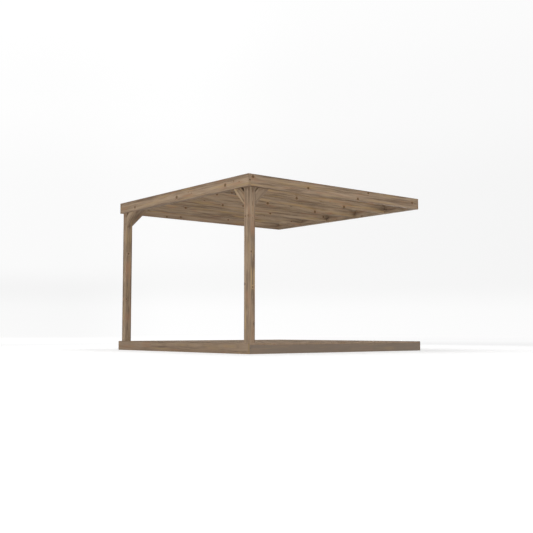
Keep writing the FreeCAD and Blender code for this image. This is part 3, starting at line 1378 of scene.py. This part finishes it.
@dataclass(frozen=True)
class Roof:
    """Edge beams, joists and roof boards. The joists count from the left, and two are twins."""

    board_count: int = 28
    board_gap: float = 0.0004
    beam_finish: TimberFinish = TimberFinish(
        "beam_wood", srgb(172, 150, 126), srgb(115, 95, 77), contrast=0.75, gloss=0.15
    )
    joist_finish: TimberFinish = TimberFinish(
        "roof_wood", srgb(168, 147, 123), srgb(111, 92, 74), contrast=0.85, gloss=0.15
    )
    front_knots: Knots = (
        *Plane.FRONT.knots(
            (-1.45, 2.665, 0.022), (-0.03, 2.68, 0.023), (1.39, 2.695, 0.023),
            (0.33, 2.72, 0.009), (0.43, 2.69, 0.008), (1.62, 2.73, 0.009), (1.76, 2.7, 0.009),
        ),
        *Plane.END.knots((-1.97, 2.7, 0.012)),
    )
    right_knots: Knots = Plane.SIDE.knots(
        (-1.91, 2.755, 0.02), (-0.75, 2.7, 0.019), (0.41, 2.64, 0.019), (0.67, 2.77, 0.018),
        (1.83, 2.71, 0.019),
    )
    left_knots: Knots = Plane.SIDE.knots(
        (-0.975, 2.627, 0.016), (-0.642, 2.655, 0.014), (0.55, 2.7, 0.014),
    )
    left_streaks: Streaks = Plane.SIDE.streaks(
        # The first mark on the next line is a painted shadow beside the top of the side brace.
        (-1.44, 2.705, -1.34, 2.71, 0.03, 0.6), (0.0, 2.615, 3.0, 2.615, 0.02, 0.3),
    )
    front_streaks: Streaks = (
        *Plane.FRONT.streaks(
            (-4.0, 2.785, 4.0, 2.785, 0.048, 0.45), (-1.9, 2.755, -0.5, 2.745, 0.018, 0.2),
            (-1.3, 2.618, -0.2, 2.612, 0.022, 0.3),
            (-1.45, 2.69, 0.6, 2.7, 0.035, 0.35, Tint.PALE),
            (-1.35, 2.66, -0.3, 2.68, 0.03, 0.35, Tint.OCHRE),
            (0.6, 2.7, 1.95, 2.7, 0.03, 0.3, Tint.PALE),
            (-1.9, 2.655, -0.2, 2.655, 0.03, 0.3, Tint.PALE),
            (0.1, 2.675, 0.6, 2.66, 0.028, 0.55, Tint.RUST),
            (0.5, 2.655, 0.85, 2.65, 0.02, 0.4, Tint.PALE),
            (1.5, 2.68, 1.9, 2.675, 0.025, 0.5, Tint.RUST),
            (-1.95, 2.69, -1.65, 2.68, 0.05, 0.4, Tint.RUST),
            (-1.998, 2.4, -1.998, 3.0, 0.022, 0.7),
        ),
        *Plane.UNDER.streaks(
            # Painted shade: the beam's underside darker all along, the more so towards the right
            # post.
            (-4.0, -1.964, 4.0, -1.964, 0.033, 0.35), (1.0, -1.964, 2.2, -1.964, 0.033, 0.4),
        ),
    )
    right_streaks: Streaks = (
        *Plane.SIDE.streaks(
            (-4.0, 2.797, 4.0, 2.797, 0.018, 0.5), (-0.7, 2.752, 1.0, 2.715, 0.022, 0.38),
            (0.7, 2.71, 2.2, 2.69, 0.045, 0.25), (-1.9, 2.665, -1.3, 2.655, 0.022, 0.38),
            (-1.35, 2.63, -0.8, 2.622, 0.02, 0.4),
            (-0.65, 2.66, -0.25, 2.655, 0.015, 0.6, Tint.RUST),
            (-1.75, 2.74, -0.2, 2.715, 0.026, 0.4, Tint.OCHRE),
            (-0.4, 2.69, 0.6, 2.655, 0.02, 0.35, Tint.PALE),
            (0.5, 2.65, 1.5, 2.63, 0.018, 0.3, Tint.OCHRE),
            (1.0, 2.79, 1.4, 2.785, 0.014, 0.5, Tint.OCHRE),
        ),
        *Plane.UNDER.streaks(
            # Painted shade: the underside darker near the post; further back it is a little lighter.
            (1.964, -2.2, 1.964, -1.1, 0.033, 0.5),
            (1.964, -1.5, 1.964, 2.5, 0.033, 0.15, Tint.PALE),
        ),
    )
    twin_joist_streaks: Streaks = Plane.SIDE.streaks(
        (-1.3, 2.757, 0.1, 2.735, 0.022, 0.38, Tint.OCHRE),
        (-0.3, 2.735, 1.1, 2.695, 0.03, 0.42, Tint.OCHRE),
        (0.6, 2.695, 2.2, 2.63, 0.028, 0.42, Tint.OCHRE),
        (-0.9, 2.745, 0.9, 2.705, 0.016, 0.25, Tint.PALE),
        (0.5, 2.69, 1.6, 2.65, 0.016, 0.25, Tint.PALE), (-0.18, 2.742, 0.13, 2.728, 0.008, 0.75),
        (0.18, 2.683, 0.36, 2.675, 0.007, 0.7), (1.0, 2.685, 1.28, 2.678, 0.008, 0.75),
        (1.5, 2.65, 1.75, 2.64, 0.008, 0.6, Tint.RUST),
        (0.44, 2.697, 0.52, 2.693, 0.014, 0.9, Tint.RUST), (0.2, 2.765, 1.8, 2.745, 0.025, 0.25),
        (-1.2, 2.65, 0.4, 2.63, 0.035, 0.2),
    )
    second_joist_streaks: Streaks = Plane.SIDE.streaks(
        (-1.55, 2.705, -0.85, 2.695, 0.035, 0.55, Tint.OCHRE),
        (-0.75, 2.712, -0.2, 2.708, 0.018, 0.4, Tint.PALE),
        (0.45, 2.645, 1.5, 2.63, 0.022, 0.45, Tint.PALE), (-1.6, 2.64, -0.4, 2.632, 0.025, 0.3),
        (0.0, 2.74, 1.9, 2.73, 0.035, 0.2),
    )
    first_joist_streaks: Streaks = Plane.SIDE.streaks(
        (-1.0, 2.735, -0.3, 2.73, 0.024, 0.5, Tint.OCHRE),
        (1.3, 2.645, 1.58, 2.64, 0.028, 0.45, Tint.PALE), (-0.9, 2.65, 1.2, 2.64, 0.04, 0.3),
    )
    joist_knots: tuple[Knots, ...] = (
        Plane.SIDE.knots(
            (-1.045, 2.714, 0.017), (0.9, 2.742, 0.011), (1.08, 2.768, 0.013),
            (1.64, 2.68, 0.014),
        ),
        Plane.SIDE.knots(
            (-0.75, 2.7, 0.017), (-0.27, 2.73, 0.014), (0.4, 2.648, 0.017), (-1.17, 2.762, 0.019),
            (1.82, 2.705, 0.017), (1.57, 2.768, 0.012),
        ),
        Plane.SIDE.knots(
            (-0.32, 2.682, 0.02), (0.85, 2.632, 0.02), (-1.465, 2.732, 0.021),
            (-1.06, 2.765, 0.012),
        ),
        Plane.SIDE.knots(
            (-0.32, 2.676, 0.02), (0.84, 2.628, 0.023), (-1.737, 2.618, 0.011),
            (-1.66, 2.607, 0.007),
        ),
    )

    def build(self) -> list[bpy.types.Object]:
        """Lays the roof boards.

        Returns:
            The new pieces.
        """
        low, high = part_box("roof_boards")
        width = (high.y - low.y) / self.board_count
        layer = BoardLayer(
            "roof_planks", "roof_boards", width - self.board_gap, self.board_count,
            corners=(0.001, 0.004), steps=1, seed=12,
        )
        planks = layer.build()
        self.joist_finish.dress(planks, BoardLay((width / 2, (high.z - low.z) / 2)))
        return [planks]

    def dress(self) -> None:
        """Finishes the beams and joists."""
        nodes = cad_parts
        for node, grain, knots, streaks, seed, tone in (
            ("roof_beam_front", Grain.ACROSS, self.front_knots, self.front_streaks, 21, 0.04),
            ("roof_beam_right", Grain.DEEP, self.right_knots, self.right_streaks, 22, -0.03),
            ("roof_beam_back", Grain.ACROSS, None, (), 23, -0.06),
            ("roof_beam_left", Grain.DEEP, self.left_knots, self.left_streaks, 24, -0.04),
        ):
            lay = TimberLay(node, grain, seed, pith=(0.14, 0.05), tone=tone)
            self.beam_finish.dress(nodes[node], lay, knots, streaks)
        joists = (
            (self.first_joist_streaks, 0.0),
            (self.second_joist_streaks, 0.0),
            (self.twin_joist_streaks, 0.0),
            (self.twin_joist_streaks, -0.1),
        )
        for number, (knots, (streaks, tone)) in enumerate(zip(self.joist_knots, joists), 1):
            lay = TimberLay(
                f"roof_joist_{number}", Grain.DEEP, 24 + number, pith=(-0.12, 0.04), tone=tone
            )
            self.joist_finish.dress(nodes[lay.node], lay, knots, streaks)
        for node, seed in (("roof_bearer_front", 29), ("roof_bearer_back", 30)):
            lay = TimberLay(node, Grain.ACROSS, seed, pith=(0.02, 0.05))
            self.joist_finish.dress(nodes[node], lay)


# Colour of what glows or lights
WHITE = opaque((1.0, 1.0, 1.0))


@dataclass(frozen=True)
class Studio:
    """Floor, backdrop, lamps and camera.

    Attributes:
        camera_place: Place of the camera, metres.
        camera_turn: Its turn, degrees.
        lens: Its focal length, millimetres.
        sensor: Width of its film, millimetres.
        far: How far it sees, metres.
        floor_reach: Half of the floor's side.
        sky_light: Strength of the light from all around.
        floor_white: Colour of the floor.
        floor_glow: Glow of the floor for the camera, in strength.
        floor_far: What the plain floor far away has more.
        floor_plain: Distances between which the floor becomes plain.
        floor_fade: Distances between which it fades, in reaches.
        panels: Name, place, size and power of each lamp.
        panel_aim: Greatest height that a lamp is aimed at.
        ahead: Direction in which the camera looks, level.
        aside: Direction to its right, level.
        glow_right: Places aside between which the glow falls, and how much, as a painted shadow of
            the veranda to its right.
        glow_near: Distances from the middle between which the glow falls, and how much, as a painted
            shadow round the veranda.
        glow_front: Places ahead between which the glow rises, and how much.
        glow_back: The same far behind the veranda.
        glow_edge: Distances between which the glow starts at the deck's edge.
        sky_slope: How much the backdrop's grey falls to the right.
        sky_stops: Heights above the horizon and the backdrop's grey there, from 0 to 255.
        sky_patch: A lighter patch: its middle aside, its reach and how much.
        sky_patch_rise: Heights between which it starts.
        sky_corner: A darker corner: places aside between which it starts, and how much.
        sky_corner_fall: Heights between which it ends.
    """

    camera_place: Triple = (12.011, -9.828, 0.351)
    camera_turn: Triple = (94.471, 0.0, 50.716)
    lens: float = 55.92
    sensor: float = 36.0
    far: float = 500.0
    floor_reach: float = 45.0
    sky_light: float = 0.2
    floor_white: float = 0.74
    floor_glow: float = 0.755
    floor_far: float = 0.22
    floor_plain: Pair = (5.5, 8.5)
    floor_fade: Pair = (0.35, 0.95)
    panels: tuple[tuple[str, Triple, Pair, float], ...] = (
        ("front", (1.0, -10.0, 0.35), (14.0, 0.6), 630.0),
        ("right", (10.0, 0.0, 0.35), (14.0, 0.6), 490.0),
        ("back", (0.0, 10.0, 0.35), (14.0, 0.6), 520.0),
        ("left", (-10.0, 0.0, 0.35), (14.0, 0.6), 180.0),
        ("top", (0.0, 0.0, 6.5), (3.6, 3.6), 220.0),
    )
    panel_aim: float = 1.0
    ahead: Triple = (-0.774, 0.633, 0.0)
    aside: Triple = (0.633, 0.774, 0.0)
    glow_right: Triple = (-2.0, 4.0, 0.09)
    glow_near: Triple = (4.6, 2.3, 0.05)
    glow_front: Triple = (-4.0, -8.0, 0.21)
    glow_back: Triple = (4.0, 16.0, 0.075)
    glow_edge: Pair = (1.93, 1.99)
    sky_slope: float = -0.075
    sky_stops: tuple[Pair, ...] = (
        (0.0, 254.0),
        (0.02, 253.5),
        (0.058, 247.8),
        (0.157, 248.0),
        (0.27, 251.5),
        (0.38, 254.0),
    )
    sky_patch: Triple = (-0.1, 0.16, 0.022)
    sky_patch_rise: Pair = (0.06, 0.10)
    sky_corner: Triple = (-0.10, -0.24, 0.06)
    sky_corner_fall: Pair = (0.08, 0.04)

    def build(self) -> None:
        """Sets up the whole studio."""
        self.backdrop()
        self.floor()
        self.lamps()
        self.camera()
        bpy.context.scene.view_settings.view_transform = "Standard"

    def camera(self) -> None:
        """Makes the camera that stands where the photograph was taken from."""
        data = bpy.data.cameras.new("camera")
        data.lens = self.lens
        data.sensor_width = self.sensor
        data.clip_end = self.far
        camera = bpy.data.objects.new("camera", data)
        camera.location = self.camera_place
        camera.rotation_euler = [math.radians(a) for a in self.camera_turn]
        bpy.context.scene.collection.objects.link(camera)
        bpy.context.scene.camera = camera

    def lamps(self) -> None:
        """Adds a low soft panel on each side and one over the roof, all facing the veranda."""
        for name, place, size, power in self.panels:
            data = bpy.data.lights.new(f"{name}_panel", "AREA")
            data.shape = "RECTANGLE"
            data.size, data.size_y = size
            data.energy = power
            lamp = bpy.data.objects.new(data.name, data)
            lamp.location = place
            aim = Vector((0.0, 0.0, min(place[2], self.panel_aim))) - Vector(place)
            lamp.rotation_euler = aim.to_track_quat("-Z", "Y").to_euler()
            lamp.visible_camera = False
            bpy.context.scene.collection.objects.link(lamp)

    @staticmethod
    def seen(bench: NodeBench) -> Signal:
        """1 for rays from the camera that show the backdrop itself."""
        return Signal(bench, bench.node("ShaderNodeLightPath").outputs["Is Camera Ray"])

    def backdrop(self) -> None:
        """Makes the near-white backdrop: a grey that depends on the height above the horizon."""
        world = bpy.data.worlds.new("studio")
        bpy.context.scene.world = world
        bench = NodeBench(world)
        direction = bench.node("ShaderNodeTexCoord").outputs["Generated"]
        height = bench.split(direction)[2]
        aside = bench.dot(direction, self.aside)
        stops = [(place, srgb(grey, grey, grey)[0]) for place, grey in self.sky_stops]
        grey = aside * self.sky_slope + stops[0][1]
        for (low, before), (high, after) in zip(stops, stops[1:]):
            grey = height.step(low, high) * (after - before) + grey
        middle, reach, lift = self.sky_patch
        patch = abs(aside - middle).step(reach, 0.0, lift) * height.step(*self.sky_patch_rise)
        corner = aside.step(*self.sky_corner) * height.step(*self.sky_corner_fall)
        grey = grey + patch - corner
        shown = bench.emission("ShaderNodeBackground", bench.join(grey, grey, grey), 1.0)
        light = bench.emission("ShaderNodeBackground", WHITE, self.sky_light)
        both = bench.node("ShaderNodeMixShader", None, {0: self.seen(bench), 1: light, 2: shown})
        bench.show(both, "World")

    def glow(self, bench: NodeBench, place: Socket) -> Signal:
        """How brightly the floor glows for the camera.

        Args:
            bench: Node tree of the floor's material.
            place: Place on the floor.

        Returns:
            The glow, less to the right and near the veranda as a painted shadow of it, more in front
            and far behind, and none under the veranda, all as smooth steps.
        """
        ahead, aside = bench.dot(place, self.ahead), bench.dot(place, self.aside)
        x, y, _ = bench.split(place)
        edge = bench.math("MAXIMUM", abs(x), abs(y))
        # Less glow to the right of and near the veranda: a painted shadow of the veranda.
        glow = self.floor_glow - aside.step(*self.glow_right) - edge.step(*self.glow_near)
        glow = glow + ahead.step(*self.glow_front) + ahead.step(*self.glow_back)
        return glow * edge.step(*self.glow_edge)

    def floor(self) -> None:
        """Makes the white floor, which glows for the camera and keeps the veranda's shadow, and
        whose glow is less near the veranda and to its right as a painted shadow.

        Away from the veranda the floor fades into a plain glow, and further out into the
        backdrop.
        """
        side = np.array([-1.0, 1.0]) * self.floor_reach
        x, y = np.meshgrid(side, side)
        points = np.stack([x.ravel(), y.ravel(), np.zeros(4)], 1)
        mesh = bpy.data.meshes.new("studio_floor")
        mesh.from_pydata(points.tolist(), [], [[0, 1, 3, 2]])
        floor = bpy.data.objects.new("studio_floor", mesh)
        bpy.context.scene.collection.objects.link(floor)
        material = bpy.data.materials.new("studio_floor")
        bench = NodeBench(material)
        coords = bench.node("ShaderNodeTexCoord").outputs["Object"]
        reach = bench.length(coords)
        seen = self.seen(bench)
        plain = seen * reach.step(*self.floor_plain)
        white = plain * -self.floor_white + self.floor_white
        matt = bench.node("ShaderNodeBsdfDiffuse", None, {"Color": bench.join(white, white, white)})
        strength = seen * self.glow(bench, coords) + plain * self.floor_far
        glow = bench.emission("ShaderNodeEmission", WHITE, strength)
        lit = bench.node("ShaderNodeAddShader", None, {0: matt.outputs[0], 1: glow})
        clear = bench.node("ShaderNodeBsdfTransparent")
        far = reach.step(*(self.floor_reach * share for share in self.floor_fade))
        whole = bench.node(
            "ShaderNodeMixShader", None, {0: far, 1: lit.outputs[0], 2: clear.outputs[0]}
        )
        bench.show(whole)
        mesh.materials.append(material)


def main() -> None:
    """Builds the sub-assemblies in order, and then the studio."""
    logging.basicConfig(level=logging.INFO, format="%(message)s")
    deck, front, roof = Deck(), FrontFrame(), Roof()
    for piece in [*deck.build(), *roof.build()]:
        log.info("%s: %d faces", piece.name, len(piece.data.polygons))
    for part in (deck, front, roof):
        part.dress()
        log.info("%s dressed", type(part).__name__)
    Studio().build()


if __name__ == "__main__":
    main()
